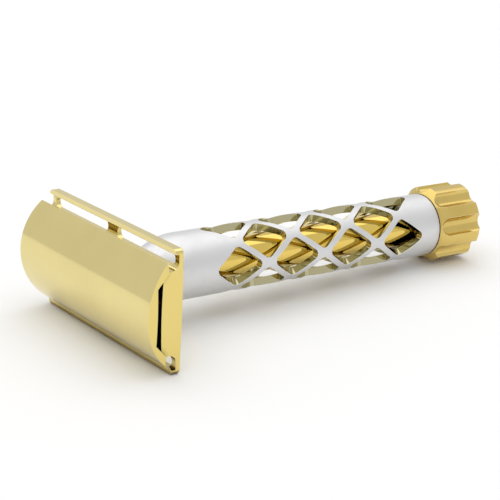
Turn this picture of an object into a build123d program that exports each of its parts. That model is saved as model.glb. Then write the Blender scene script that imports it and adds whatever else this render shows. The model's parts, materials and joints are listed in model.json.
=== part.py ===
from build123d import *
import os
from math import atan, degrees, hypot, radians, sqrt, tan

# Safety razor with a pierced silver handle, a gold core rod and a knob that tightens the head.
# Every piece is drawn in the handle's own frame: +X runs along the handle axis from the head to the
# knob, x = 0 is the rear face of the base plate, Y is the long way of the head and Z its short way.
# place() then lays the whole razor down on its lower guard bar and its knob.
# Sizes are in millimetres and angles in degrees.

# Head
cap_length = 47.2
cap_half_chord = 10.0
cap_radius = 13.4
cap_crown_x = -8.0
cap_end_bulge = 0.7
cap_channel_x = -5.93
lip_x = -3.5
clamp_gap = 0.14
plate_length = 46.6
plate_half_width = 12.2
plate_seat_x = -4.45
plate_corner_radius = 0.9
rear_flat_half_width = 4.6
rear_edge_x = -0.15
dome_edge_x = -4.25
dome_edge_z = 7.1
body_side_x = -3.2
body_side_z = 8.2
guard_front_x = -1.8
guard_inner_z = 11.25
groove_floor_x = -1.0
groove_corner = 1.5
slot_inner_z = 8.6
slot_end_web = 1.3
slot_centre_web = 3.4
post_spacing = 33.0
post_radius = 1.5
post_clearance = 0.1
post_length = 5.2
post_root_x = -7.0

# Draw stud, M5 x 0.8, shown at its outside diameter
stud_radius = 2.5
stud_tip_x = 13.4
stud_root_x = -7.0
stud_clearance = 0.1
thread_clearance = 0.05

# Sleeve that fastens the plate to the handle
sleeve_radius = 3.2
sleeve_end_x = 5.8
flange_radius = 4.6
flange_thickness = 0.8
flange_recess = 0.2

# Pierced handle
cage_radius = 6.87
cage_bore = 5.2
cage_end_x = 78.7
collar_radius = 4.0
collar_length = 2.4
throat_x = 8.2
shoulder_x = 14.2
shoulder_radius = 14.0
neck_floor_x = 6.2
neck_bore = 4.1
bore_start_x = 13.0
window_pitch = 14.4
window_rows = 8
first_window_x = 25.0
window_lines = 4
strut_width = 1.25
window_corner = 1.2

# Bearings
bush_clearance = 0.05
neck_bush_start_x = 6.4
neck_bush_end_x = 12.9
journal_radius = 3.55
washer_thickness = 0.7
rear_bush_start_x = 75.0
rear_washer_thickness = 0.5

# Core rod
core_radius = 4.0
core_front_x = 6.7
core_collar_radius = 4.8
core_collar_end_x = 15.6
core_end_x = 74.4
tail_radius = 3.0
tail_end_x = 79.2
drive_side = 4.2
drive_end_x = 85.0
insert_radius = 3.0
insert_length = 6.2

# Knob
knob_start_x = 78.9
knob_end_x = 90.2
knob_radius = 8.35
knob_face_radius = 6.95
knob_cone_length = 1.5
knob_chamfer = 0.8
flutes = 8
flute_phase = 9.0
flute_radius = 2.1
flute_floor = 6.8
flute_front_x = 78.37
counterbore_radius = 3.3
counterbore_depth = 3.9
screw_radius = 1.5
screw_head_radius = 2.75
screw_head_height = 2.8
screw_length = 8.0
hex_across_flats = 2.5
hex_depth = 1.4
lock_washer_thickness = 0.6

# Lying position: the lower guard bar and the knob share one surface
tilt = degrees(atan((plate_half_width - knob_radius) / (knob_end_x - knob_chamfer - rear_edge_x)))


def rod(radius, start_x, end_x):
    """Cylinder about the handle axis."""
    return Pos((start_x + end_x) / 2, 0, 0) * Rot(0, 90, 0) * Cylinder(radius, end_x - start_x)


def ring(outer, inner, start_x, end_x):
    """Hollow cylinder about the handle axis."""
    return rod(outer, start_x, end_x) - rod(inner, start_x, end_x)


def turned(*edges):
    """Solid of revolution about the handle axis; the edges lie in the XY plane above the axis."""
    profile = Wire(edges)
    first, last = profile @ 0, profile @ 1
    rim = [
        Line(last, (last.X, 0)),
        Line((last.X, 0), (first.X, 0)),
        Line((first.X, 0), first),
    ]
    return revolve(make_face(list(edges) + [edge for edge in rim if edge.length > 0]), Axis.X)


def around(piece, angle):
    """The piece turned about the handle axis, counted from -Y towards +Z."""
    return Rot(-angle, 0, 0) * piece


def across(section, length):
    """Section drawn in the XZ plane, made into a bar that runs along Y."""
    return extrude(section, length / 2, both=True)


def clamp_z(x):
    """Distance from the middle of the head at which the cap's sloping channel wall has the given x."""
    slope = (dome_edge_x - body_side_x) / (body_side_z - dome_edge_z)
    return body_side_z - (x - body_side_x + clamp_gap) / slope


# ---------------------------------------------------------------------------------------- the head

def cap():
    crown = ThreePointArc(
        (lip_x, 0, cap_half_chord), (cap_crown_x, 0, 0), (lip_x, 0, -cap_half_chord)
    )
    below = Polyline(
        (lip_x, 0, -cap_half_chord),
        (lip_x, 0, -clamp_z(lip_x)),
        (cap_channel_x, 0, -clamp_z(cap_channel_x)),
        (cap_channel_x, 0, clamp_z(cap_channel_x)),
        (lip_x, 0, clamp_z(lip_x)),
        (lip_x, 0, cap_half_chord),
    )
    shell = across(make_face([crown, *below.edges()]), cap_length + 4 * cap_end_bulge)
    half_length = cap_length / 2
    bowed_end = [
        ThreePointArc(
            (0, side * half_length, -side * cap_half_chord),
            (0, side * (half_length + cap_end_bulge), 0),
            (0, side * half_length, side * cap_half_chord),
        )
        for side in (-1, 1)
    ]
    sides = [
        Line((0, -half_length, -cap_half_chord), (0, half_length, -cap_half_chord)),
        Line((0, half_length, cap_half_chord), (0, -half_length, cap_half_chord)),
    ]
    outline = extrude(make_face(bowed_end + sides), -2 * cap_crown_x, both=True)
    blank = shell & outline
    blank -= rod(stud_radius, stud_root_x, 0)
    for side in (-1, 1):
        blank -= Pos(0, side * post_spacing / 2, 0) * rod(post_radius, post_root_x, 0)
    return blank


def cap_stud():
    return chamfer(rod(stud_radius, stud_root_x, stud_tip_x).edges().group_by(Axis.X)[-1], 0.4)


def cap_posts():
    post = rod(post_radius, post_root_x, post_root_x + post_length)
    post = chamfer(post.edges().group_by(Axis.X)[-1], 0.3)
    return Compound([Pos(0, side * post_spacing / 2, 0) * post for side in (-1, 1)])


def plate_half():
    """Upper half of the plate's section: dome, sloping shoulder, open groove, guard bar and rear."""
    floor_z = body_side_z + groove_corner
    wall_x = groove_floor_x - groove_corner
    bend = groove_corner * (1 - sqrt(0.5))
    bend_middle = (groove_floor_x - bend, 0, body_side_z + bend)
    dome_radius = hypot(dome_edge_z, dome_edge_x - plate_seat_x) ** 2 / (2 * (dome_edge_x - plate_seat_x))
    dome_middle_x = plate_seat_x + dome_radius - sqrt(dome_radius**2 - (dome_edge_z / 2)**2)
    rear_and_guard = Polyline(
        (plate_seat_x, 0, 0),
        (0, 0, 0),
        (0, 0, rear_flat_half_width),
        (rear_edge_x, 0, plate_half_width),
        (guard_front_x, 0, plate_half_width),
        (guard_front_x, 0, guard_inner_z),
        (groove_floor_x, 0, guard_inner_z),
        (groove_floor_x, 0, floor_z),
    )
    bend_arc = ThreePointArc((groove_floor_x, 0, floor_z), bend_middle, (wall_x, 0, body_side_z))
    shoulder = Polyline(
        (wall_x, 0, body_side_z), (body_side_x, 0, body_side_z), (dome_edge_x, 0, dome_edge_z)
    )
    dome = ThreePointArc(
        (dome_edge_x, 0, dome_edge_z), (dome_middle_x, 0, dome_edge_z / 2), (plate_seat_x, 0, 0)
    )
    return make_face([*rear_and_guard.edges(), bend_arc, *shoulder.edges(), dome])


def base_plate():
    plate = across(plate_half(), plate_length)
    corners = plate.edges().filter_by(Axis.X).group_by(Axis.Z)[-1]
    plate = fillet(corners, plate_corner_radius)
    plate += mirror(plate, about=Plane.XY)
    slot_length = (plate_length - slot_centre_web) / 2 - slot_end_web
    slot_width = guard_inner_z - slot_inner_z
    slot = extrude(Plane.YZ * SlotOverall(slot_length, slot_width), -2 * plate_seat_x, both=True)
    slot_y = (slot_length + slot_centre_web) / 2
    slot_z = (guard_inner_z + slot_inner_z) / 2
    for side_z in (-1, 1):
        for side_y in (-1, 1):
            plate -= Pos(0, side_y * slot_y, side_z * slot_z) * slot
    for side in (-1, 1):
        hole = rod(post_radius + post_clearance, 2 * plate_seat_x, 1)
        plate -= Pos(0, side * post_spacing / 2, 0) * hole
    plate -= rod(sleeve_radius, 2 * plate_seat_x, 1)
    plate -= rod(flange_radius, 2 * plate_seat_x, plate_seat_x + flange_recess + flange_thickness)
    return plate


def plate_sleeve():
    flange_x = plate_seat_x + flange_recess
    flange = rod(flange_radius, flange_x, flange_x + flange_thickness)
    tube = rod(sleeve_radius, flange_x, sleeve_end_x)
    return flange + tube - rod(stud_radius + stud_clearance, 2 * plate_seat_x, sleeve_end_x)


# ------------------------------------------------------------------------------- the pierced handle

def window_outline(distance):
    """Rounded diamond on a plane at the given distance from the axis, so that its walls are radial.

    The diamond is drawn on the unrolled tube, x along the axis and s round it, and s is carried to
    the plane as an angle.
    """
    half_pitch = window_pitch / 2
    half_row = cage_radius * radians(360 / window_rows)
    diagonal = sqrt(half_pitch**2 + half_row**2)
    inset = strut_width / 2 + window_corner
    shrink = 1 - inset * diagonal / (half_pitch * half_row)
    long_half = half_pitch * shrink
    short_half = half_row * shrink
    normal = (half_row / diagonal, half_pitch / diagonal)

    def point(x, s):
        return (x, distance * tan(s / cage_radius), 0)

    def corner(x, s, side_x, side_s, outward):
        """Start, middle and end of the round corner, in order round the diamond."""
        first = (x + window_corner * normal[0] * side_x[0], s + window_corner * normal[1] * side_s[0])
        last = (x + window_corner * normal[0] * side_x[1], s + window_corner * normal[1] * side_s[1])
        middle = (x + window_corner * outward[0], s + window_corner * outward[1])
        return first, middle, last

    corners = [
        corner(long_half, 0, (1, 1), (-1, 1), (1, 0)),
        corner(0, short_half, (1, -1), (1, 1), (0, 1)),
        corner(-long_half, 0, (-1, -1), (1, -1), (-1, 0)),
        corner(0, -short_half, (-1, 1), (-1, -1), (0, -1)),
    ]
    edges = []
    for index, (first, middle, last) in enumerate(corners):
        edges.append(ThreePointArc(point(*first), point(*middle), point(*last)))
        following = corners[(index + 1) % len(corners)][0]
        halfway = ((last[0] + following[0]) / 2, (last[1] + following[1]) / 2)
        edges.append(ThreePointArc(point(*last), point(*halfway), point(*following)))
    return make_face(edges)


def window_cutter():
    """Diamond hole through the tube wall on its -Y side, centred at x = 0."""
    wall_plane = Plane(origin=(0, 0, 0), x_dir=(1, 0, 0), z_dir=(0, -1, 0))
    near, far = cage_bore * 0.7, cage_radius * 1.1
    inner = wall_plane.offset(near) * window_outline(near)
    outer = wall_plane.offset(far) * window_outline(far)
    return loft([inner, outer], ruled=True)


def throat_point():
    """Where the convex shoulder of the neck turns into the concave throat."""
    run = shoulder_x - throat_x
    return (throat_x, cage_radius - shoulder_radius + sqrt(shoulder_radius**2 - run**2))


def cage():
    shoulder = TangentArc((shoulder_x, cage_radius), throat_point(), tangent=(-1, 0))
    throat = TangentArc(shoulder @ 1, (collar_length, collar_radius), tangent=shoulder % 1)
    body = turned(
        Line((cage_end_x, cage_radius), (shoulder_x, cage_radius)),
        shoulder,
        throat,
        Line((collar_length, collar_radius), (0, collar_radius)),
    )
    body -= rod(sleeve_radius, -1, neck_floor_x)
    body -= rod(neck_bore, neck_floor_x, bore_start_x)
    body -= rod(cage_bore, bore_start_x, cage_end_x + 1)
    cutter = window_cutter()
    row_angle = 360 / window_rows
    for row in range(window_rows):
        staggered = row % 2
        for line in range(window_lines - staggered):
            window_x = first_window_x + window_pitch * (line + staggered / 2)
            body -= around(Pos(window_x, 0, 0) * cutter, row * row_angle)
    return body


def neck_bush():
    return ring(neck_bore, journal_radius + bush_clearance, neck_bush_start_x, neck_bush_end_x)


def front_washer():
    return ring(cage_bore - 0.1, journal_radius + 0.1, bore_start_x, bore_start_x + washer_thickness)


def rear_bush():
    return ring(cage_bore, tail_radius + bush_clearance, rear_bush_start_x, cage_end_x)


def rear_washer():
    end_x = rear_bush_start_x
    return ring(cage_bore - 0.2, tail_radius + 0.1, end_x - rear_washer_thickness, end_x)


# ------------------------------------------------------------------------------------ the gold core

def core():
    collar_front_x = bore_start_x + washer_thickness + bush_clearance
    body = rod(core_radius, collar_front_x, core_end_x)
    body += rod(journal_radius, core_front_x, collar_front_x + 1)
    body += rod(core_collar_radius, collar_front_x, core_collar_end_x)
    body += rod(tail_radius, core_end_x - 1, tail_end_x)
    body += Pos((tail_end_x + drive_end_x) / 2, 0, 0) * Box(
        drive_end_x - tail_end_x, drive_side, drive_side
    )
    body -= rod(insert_radius, core_front_x, core_front_x + insert_length)
    body -= rod(stud_radius + stud_clearance, core_front_x, stud_tip_x + 1)
    body -= rod(screw_radius, drive_end_x - screw_length + 1, drive_end_x)
    return body


def thread_insert():
    bore = stud_radius + thread_clearance
    return ring(insert_radius, bore, core_front_x, core_front_x + insert_length)


# ----------------------------------------------------------------------------------------- the knob

def knob():
    body = turned(
        Line((knob_start_x, knob_face_radius), (knob_start_x + knob_cone_length, knob_radius)),
        Line((knob_start_x + knob_cone_length, knob_radius), (knob_end_x - knob_chamfer, knob_radius)),
        Line((knob_end_x - knob_chamfer, knob_radius), (knob_end_x, knob_radius - knob_chamfer)),
    )
    flute_x = flute_front_x + flute_radius
    groove = rod(flute_radius, flute_x, knob_end_x + 1) + Pos(flute_x, 0, 0) * Sphere(flute_radius)
    groove = Pos(0, -flute_floor - flute_radius, 0) * groove
    for index in range(flutes):
        body -= around(groove, flute_phase + index * 360 / flutes)
    body -= rod(tail_radius + bush_clearance, knob_start_x, tail_end_x)
    body -= Pos((tail_end_x + drive_end_x) / 2, 0, 0) * Box(
        drive_end_x - tail_end_x, drive_side, drive_side
    )
    body -= rod(screw_radius + 0.1, drive_end_x, knob_end_x)
    body -= rod(counterbore_radius, knob_end_x - counterbore_depth, knob_end_x)
    return body


def knob_washer():
    start_x = knob_end_x - counterbore_depth
    return ring(screw_head_radius, screw_radius + 0.1, start_x, start_x + lock_washer_thickness)


def knob_screw():
    head_x = knob_end_x - counterbore_depth + lock_washer_thickness
    head = rod(screw_head_radius, head_x, head_x + screw_head_height)
    head = chamfer(head.edges().group_by(Axis.X)[-1], 0.25)
    shank = rod(screw_radius, head_x - screw_length, head_x)
    socket = extrude(
        Plane.YZ * RegularPolygon(hex_across_flats / 2, 6, major_radius=False), hex_depth
    )
    return head + shank - Pos(head_x + screw_head_height - hex_depth, 0, 0) * socket


# -------------------------------------------------------------------------------------- the assembly

PIECES = [
    base_plate, plate_sleeve, cage, neck_bush, front_washer, rear_bush, rear_washer,
    core, thread_insert, knob, knob_washer, knob_screw,
    cap, cap_stud, cap_posts,
]


def place(pieces):
    """Lay the razor down and put the middle of the bottom of its box at the origin."""
    laid = {name: Rot(0, tilt, 0) * piece for name, piece in pieces.items()}
    box = Compound(list(laid.values())).bounding_box()
    shift = Pos(-(box.min.X + box.max.X) / 2, -(box.min.Y + box.max.Y) / 2, -box.min.Z)
    return {name: shift * piece for name, piece in laid.items()}, shift


def main():
    os.makedirs("parts", exist_ok=True)
    pieces, shift = place({make.__name__: make() for make in PIECES})
    for name, piece in pieces.items():
        piece.label = name
        export_step(piece, f"parts/{name}.step")
    print("tilt", round(tilt, 4), "shift", shift.position)


main()
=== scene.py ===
import json
from math import cos, pi, radians, sin

import bpy
from mathutils import Matrix, Vector


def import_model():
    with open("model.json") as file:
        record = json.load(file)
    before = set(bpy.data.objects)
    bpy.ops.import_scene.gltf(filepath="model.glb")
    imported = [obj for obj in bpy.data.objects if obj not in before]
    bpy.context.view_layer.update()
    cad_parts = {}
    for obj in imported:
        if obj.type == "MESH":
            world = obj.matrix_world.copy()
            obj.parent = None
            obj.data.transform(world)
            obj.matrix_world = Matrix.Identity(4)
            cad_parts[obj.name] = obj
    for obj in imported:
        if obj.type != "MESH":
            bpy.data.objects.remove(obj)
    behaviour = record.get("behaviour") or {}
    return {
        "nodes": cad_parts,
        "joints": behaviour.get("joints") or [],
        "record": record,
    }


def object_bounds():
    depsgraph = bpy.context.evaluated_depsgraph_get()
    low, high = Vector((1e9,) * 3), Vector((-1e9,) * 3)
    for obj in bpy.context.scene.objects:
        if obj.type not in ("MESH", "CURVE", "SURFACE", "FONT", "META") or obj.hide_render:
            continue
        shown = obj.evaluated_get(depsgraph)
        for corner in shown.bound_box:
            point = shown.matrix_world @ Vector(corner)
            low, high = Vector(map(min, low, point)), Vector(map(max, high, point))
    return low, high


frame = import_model()
cad_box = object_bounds()

MM = 0.001

# ------------------------------------------------------------------------------ the handle's frame
# Local x runs along the handle from the plate's rear face to the knob, y along the head.

KNOB_JOINT_X = 84.0 * MM

knob_joint = next(joint for joint in frame["joints"] if joint["name"] == "knob_turn")
axis = Vector(knob_joint["axis"]).normalized()
across = Vector((0, 1, 0))
upward = axis.cross(across)
origin = Vector(knob_joint["pos_m"]) - KNOB_JOINT_X * axis
LOCAL = Matrix((
    (axis.x, across.x, upward.x, origin.x),
    (axis.y, across.y, upward.y, origin.y),
    (axis.z, across.z, upward.z, origin.z),
    (0, 0, 0, 1),
))


def world(x, y, z):
    """A point of the handle's frame, given in millimetres."""
    return LOCAL @ (Vector((x, y, z)) * MM)


# ------------------------------------------------------------------------------------------- nodes

class Nodes:
    """Short helper around one material's or world's node tree."""

    def __init__(self, tree):
        self.tree = tree
        tree.nodes.clear()

    def add(self, kind, inputs=None, **settings):
        node = self.tree.nodes.new(kind)
        for name, value in settings.items():
            setattr(node, name, value)
        for name, value in (inputs or {}).items():
            self.put(node, name, value)
        return node

    def put(self, node, name, value):
        socket = node.inputs[name]
        if isinstance(value, bpy.types.NodeSocket):
            self.tree.links.new(value, socket)
        else:
            socket.default_value = value

    def maths(self, operation, first, second=0.0):
        return self.add("ShaderNodeMath", {0: first, 1: second}, operation=operation).outputs[0]

    def dot(self, first, second):
        node = self.add("ShaderNodeVectorMath", {0: first, 1: second}, operation="DOT_PRODUCT")
        return node.outputs["Value"]

    def ramp(self, factor, low, high, to_low=0.0, to_high=1.0):
        return self.add("ShaderNodeMapRange", {
            "Value": factor, "From Min": low, "From Max": high, "To Min": to_low, "To Max": to_high,
        }).outputs["Result"]

    def mix(self, factor, first, second):
        node = self.add("ShaderNodeMix", data_type="RGBA")
        self.put(node, 0, factor)
        self.put(node, 6, first)
        self.put(node, 7, second)
        return node.outputs[2]

    def noise(self, vector, scale, detail, roughness):
        return self.add("ShaderNodeTexNoise", {
            "Vector": vector, "Scale": scale, "Detail": detail, "Roughness": roughness,
        }).outputs[0]

    def bump(self, height, distance, normal):
        return self.add("ShaderNodeBump", {
            "Height": height, "Distance": distance, "Strength": 1.0, "Normal": normal,
        }).outputs[0]


def new_material(name):
    """An empty material and the helper for its nodes."""
    material = bpy.data.materials.new(name)
    material.use_nodes = True
    return material, Nodes(material.node_tree)


# -------------------------------------------------------------------------------------- the metals
# Sizes are in millimetres.

CLOUD_SIZE = 9.0
SMUDGE_SIZE = 2.2
RECESS_REACH = 1.2
BEVEL_SAMPLES = 6
RECESS_SAMPLES = 8

# Cosine between the rounded and the true normal: where an edge's painted highlight begins and where it
# is full.
EDGE_BEGINS = 0.995
EDGE_FULL = 0.80

# The handle's tube, and how far along it the windows begin
TUBE_RADIUS = 6.87
WINDOWS_START = 17.0

# The stud's thread, its depth as a share of its pitch
STUD_PITCH = 0.8
THREAD_DEPTH = 0.6


def handle_place(n, place):
    """How far a point lies along the handle, along the head and upwards, in metres."""
    from_origin = n.add(
        "ShaderNodeVectorMath", {0: place, 1: tuple(origin)}, operation="SUBTRACT"
    ).outputs[0]
    return [n.dot(from_origin, tuple(way)) for way in (axis, across, upward)]


def thread_height(n, place, pitch):
    """Height of a right-hand thread about the handle's axis, from 0 in its root to 1 on its crest."""
    along, side, up = handle_place(n, place)
    part_turn = n.maths("DIVIDE", n.maths("ARCTAN2", up, side), 2 * pi)
    phase = n.maths("SUBTRACT", n.maths("DIVIDE", along, pitch * MM), part_turn)
    return n.maths("MULTIPLY", n.maths("PINGPONG", phase, 0.5), 2.0)


def outside_of_tube(n, place):
    """1 on the tube's outer surface and all over its neck, 0 on the window walls and in the bore."""
    along, side, up = handle_place(n, place)
    square = n.maths("ADD", n.maths("MULTIPLY", side, side), n.maths("MULTIPLY", up, up))
    radius = n.maths("DIVIDE", n.maths("SQRT", square), MM)
    at_surface = n.ramp(radius, TUBE_RADIUS - 0.06, TUBE_RADIUS - 0.02)
    before_windows = n.ramp(n.maths("DIVIDE", along, MM), WINDOWS_START + 0.2, WINDOWS_START)
    return n.maths("MAXIMUM", at_surface, before_windows)


def metal(name, color, edge_highlight_color, roughness, grain, grain_depth, rounded_edge_width, mottle,
          recess_shade_color=None, end_face_shade_color=None, bore=None, thread_pitch=None):
    """Metal with a fine machined grain, slow tonal variation and a painted highlight along its edges.

    grain is the length of the grain in each world direction and rounded_edge_width the width of an
    edge's rounded rim, which also carries the painted highlight in edge_highlight_color. mottle is how
    much darker the clouds are. recess_shade_color is painted shade that gathers in corners and
    recesses, end_face_shade_color is painted shade on faces across the long way of the head, and bore
    gives the colour, a painted darker shade, and the roughness of the tube's polished inner surfaces.
    thread_pitch cuts a thread about the handle's axis.
    """
    material, n = new_material(name)
    place = n.add("ShaderNodeTexCoord").outputs["Object"]
    stretched = n.add("ShaderNodeMapping", {
        "Vector": place, "Scale": tuple(1 / (MM * length) for length in grain),
    }).outputs[0]
    grain_height = n.noise(stretched, 1.0, 3.0, 0.6)
    cloud = n.noise(place, 1 / (CLOUD_SIZE * MM), 3.0, 0.55)
    smudge = n.noise(place, 1 / (SMUDGE_SIZE * MM), 4.0, 0.6)

    soft_edge = n.add("ShaderNodeBevel", {"Radius": rounded_edge_width * MM}, samples=BEVEL_SAMPLES).outputs[0]
    true_normal = n.add("ShaderNodeNewGeometry").outputs["True Normal"]
    # Painted highlight: a mask along the edges, from the rounded against the true normal, broken into
    # patches by the smudge noise.
    edge = n.ramp(n.dot(soft_edge, true_normal), EDGE_BEGINS, EDGE_FULL)
    rim_highlight = n.maths("MULTIPLY", edge, n.ramp(smudge, 0.30, 0.62))

    darker = tuple(channel * (1 - mottle) for channel in color[:3]) + (1,)
    tint = n.mix(n.ramp(cloud, 0.3, 0.7), color, darker)
    rough = n.maths(
        "ADD", n.ramp(grain_height, 0.25, 0.75, roughness * 0.8, roughness * 1.2),
        n.ramp(smudge, 0.35, 0.75, 0.0, roughness * 0.25),
    )
    # Painted shade: faces across the long way of the head get a deeper, darker gold.
    if end_face_shade_color:
        facing_y = n.add("ShaderNodeSeparateXYZ", {0: true_normal}).outputs["Y"]
        tint = n.mix(n.ramp(n.maths("ABSOLUTE", facing_y), 0.90, 0.97), tint, end_face_shade_color)
    # Painted shade: the tube's inner surfaces and the window walls get a darker olive colour instead
    # of the silver.
    if bore:
        bore_shade_color, bore_roughness = bore
        outside = outside_of_tube(n, place)
        inside = n.maths("SUBTRACT", 1.0, outside)
        tint = n.mix(outside, bore_shade_color, tint)
        rough = n.maths(
            "ADD", n.maths("MULTIPLY", rough, outside), n.maths("MULTIPLY", inside, bore_roughness)
        )
    # Painted shade: the colour darkens where ambient occlusion finds nearby surfaces, in corners and
    # recesses.
    if recess_shade_color:
        openness = n.add(
            "ShaderNodeAmbientOcclusion", {"Distance": RECESS_REACH * MM}, samples=RECESS_SAMPLES
        ).outputs["AO"]
        tint = n.mix(n.ramp(openness, 0.45, 0.97), recess_shade_color, tint)
    # Painted highlight: a brighter colour along the edges, in patches.
    tint = n.mix(rim_highlight, tint, edge_highlight_color)

    surface = soft_edge
    if thread_pitch:
        depth = THREAD_DEPTH * thread_pitch * MM
        surface = n.bump(thread_height(n, place, thread_pitch), depth, surface)
    surface = n.bump(grain_height, grain_depth * MM, surface)
    shader = n.add("ShaderNodeBsdfPrincipled", {
        "Base Color": tint, "Metallic": 1.0, "Roughness": rough, "Normal": surface,
    })
    n.add("ShaderNodeOutputMaterial", {"Surface": shader.outputs[0]})
    return material


STEEL = dict(
    color=(0.62, 0.62, 0.64, 1), edge_highlight_color=(0.9, 0.9, 0.9, 1),
    grain=(0.1, 0.5, 0.5), grain_depth=0.002, rounded_edge_width=0.06, mottle=0.1,
)

# In each finish the edge colour is a painted highlight, and the recess, end and bore colours are
# painted shade.
METALS = {
    "polished_gold": dict(
        color=(0.80, 0.68, 0.30, 1), edge_highlight_color=(0.93, 0.86, 0.58, 1), roughness=0.09,
        grain=(0.5, 4.0, 0.5), grain_depth=0.0003, rounded_edge_width=0.10, mottle=0.05,
        recess_shade_color=(0.20, 0.11, 0.015, 1), end_face_shade_color=(0.80, 0.64, 0.22, 1),
    ),
    "deep_gold": dict(
        color=(0.82, 0.60, 0.15, 1), edge_highlight_color=(0.95, 0.80, 0.42, 1), roughness=0.07,
        grain=(2.0, 0.15, 0.15), grain_depth=0.0003, rounded_edge_width=0.10, mottle=0.06,
    ),
    "satin_gold": dict(
        color=(0.74, 0.55, 0.17, 1), edge_highlight_color=(0.97, 0.86, 0.55, 1), roughness=0.17,
        grain=(1.2, 0.12, 0.12), grain_depth=0.001, rounded_edge_width=0.22, mottle=0.10,
        recess_shade_color=(0.22, 0.12, 0.015, 1),
    ),
    "satin_silver": dict(
        color=(0.73, 0.73, 0.735, 1), edge_highlight_color=(0.97, 0.96, 0.92, 1), roughness=0.42,
        grain=(0.10, 0.5, 0.5), grain_depth=0.002, rounded_edge_width=0.16, mottle=0.04,
        recess_shade_color=(0.12, 0.11, 0.05, 1), bore=((0.52, 0.48, 0.29, 1), 0.05),
    ),
    "steel": dict(roughness=0.22, **STEEL),
    "threaded_steel": dict(roughness=0.18, thread_pitch=STUD_PITCH, **STEEL),
    "bronze": dict(
        color=(0.55, 0.34, 0.15, 1), edge_highlight_color=(0.85, 0.62, 0.35, 1), roughness=0.3,
        grain=(0.2, 0.2, 0.2), grain_depth=0.004, rounded_edge_width=0.06, mottle=0.1,
    ),
}

materials = {name: metal(name, **finish) for name, finish in METALS.items()}

for part in frame["record"]["subparts"]:
    node = frame["nodes"][part["node"]]
    chosen = "threaded_steel" if part["node"] == "cap_stud" else part["material_slot"]
    node.data.materials.clear()
    node.data.materials.append(materials[chosen])


# ------------------------------------------------------------------------------------------ studio
# Sizes and places are in metres.

FLOOR_SIZE = 4.0
FLOOR_GAP = 0.00002
PAPER = (0.93, 0.93, 0.93, 1)
LIGHT_PLACE = Vector((0.05, 0.10, 0.75))
LIGHT_SIZE = 1.3
LIGHT_POWER = 3.6
SKY_COLOR = (0.95, 0.95, 0.95, 1)
SKY_STRENGTH = 0.82


def make_floor():
    """A square of matt paper just under the razor."""
    half = FLOOR_SIZE / 2
    mesh = bpy.data.meshes.new("floor")
    corners = [(-half, -half, 0), (half, -half, 0), (half, half, 0), (-half, half, 0)]
    mesh.from_pydata(corners, [], [(0, 1, 2, 3)])
    floor = bpy.data.objects.new("floor", mesh)
    floor.location = (0, 0, cad_box[0][2] - FLOOR_GAP)
    bpy.context.collection.objects.link(floor)
    paper, n = new_material("paper")
    shader = n.add("ShaderNodeBsdfPrincipled", {"Base Color": PAPER, "Roughness": 0.9})
    n.add("ShaderNodeOutputMaterial", {"Surface": shader.outputs[0]})
    mesh.materials.append(paper)


def make_light():
    """One large soft light above the razor, turned to the middle of the handle."""
    light = bpy.data.lights.new("overhead", "AREA")
    light.size = LIGHT_SIZE
    light.energy = LIGHT_POWER
    lamp = bpy.data.objects.new("overhead", light)
    lamp.location = LIGHT_PLACE
    lamp.rotation_euler = (world(40, 0, 0) - LIGHT_PLACE).to_track_quat("-Z", "Y").to_euler()
    bpy.context.collection.objects.link(lamp)


def make_sky():
    """An even, nearly white room."""
    room = bpy.data.worlds.new("studio")
    room.use_nodes = True
    bpy.context.scene.world = room
    n = Nodes(room.node_tree)
    backdrop = n.add("ShaderNodeBackground", {"Color": SKY_COLOR, "Strength": SKY_STRENGTH})
    n.add("ShaderNodeOutputWorld", {"Surface": backdrop.outputs[0]})


make_floor()
make_light()
make_sky()
bpy.context.scene.view_settings.view_transform = "Standard"


# ------------------------------------------------------------------------------------------ camera
# The eye's place is in the handle's frame, in millimetres. Swing turns the view from the long way of
# the head towards the knob, pitch lowers it and roll tips it. Then eye and view turn together about
# the handle. The focal length is in picture widths.

EYE = Vector((-155.46, -252.78, 96.82))
SWING = radians(36.587)
PITCH = radians(16.97)
ROLL = radians(2.535)
HANDLE_TURN = radians(-0.5)
FOCAL_WIDTHS = 3.191
SENSOR_WIDTH = 36

forward = Vector((sin(SWING) * cos(PITCH), cos(SWING) * cos(PITCH), -sin(PITCH)))
level = Vector((cos(SWING), -sin(SWING), 0))
rise = level.cross(forward)
right = level * cos(ROLL) + rise * sin(ROLL)
top = -level * sin(ROLL) + rise * cos(ROLL)
about_handle = Matrix.Rotation(HANDLE_TURN, 3, "X")
turn = LOCAL.to_3x3() @ about_handle
facing = Matrix((turn @ right, turn @ top, turn @ -forward)).transposed()

lens = bpy.data.cameras.new("camera")
lens.sensor_width = SENSOR_WIDTH
lens.lens = SENSOR_WIDTH * FOCAL_WIDTHS
lens.clip_start = 0.01
camera = bpy.data.objects.new("camera", lens)
camera.matrix_world = Matrix.Translation(world(*(about_handle @ EYE))) @ facing.to_4x4()
bpy.context.collection.objects.link(camera)
bpy.context.scene.camera = camera
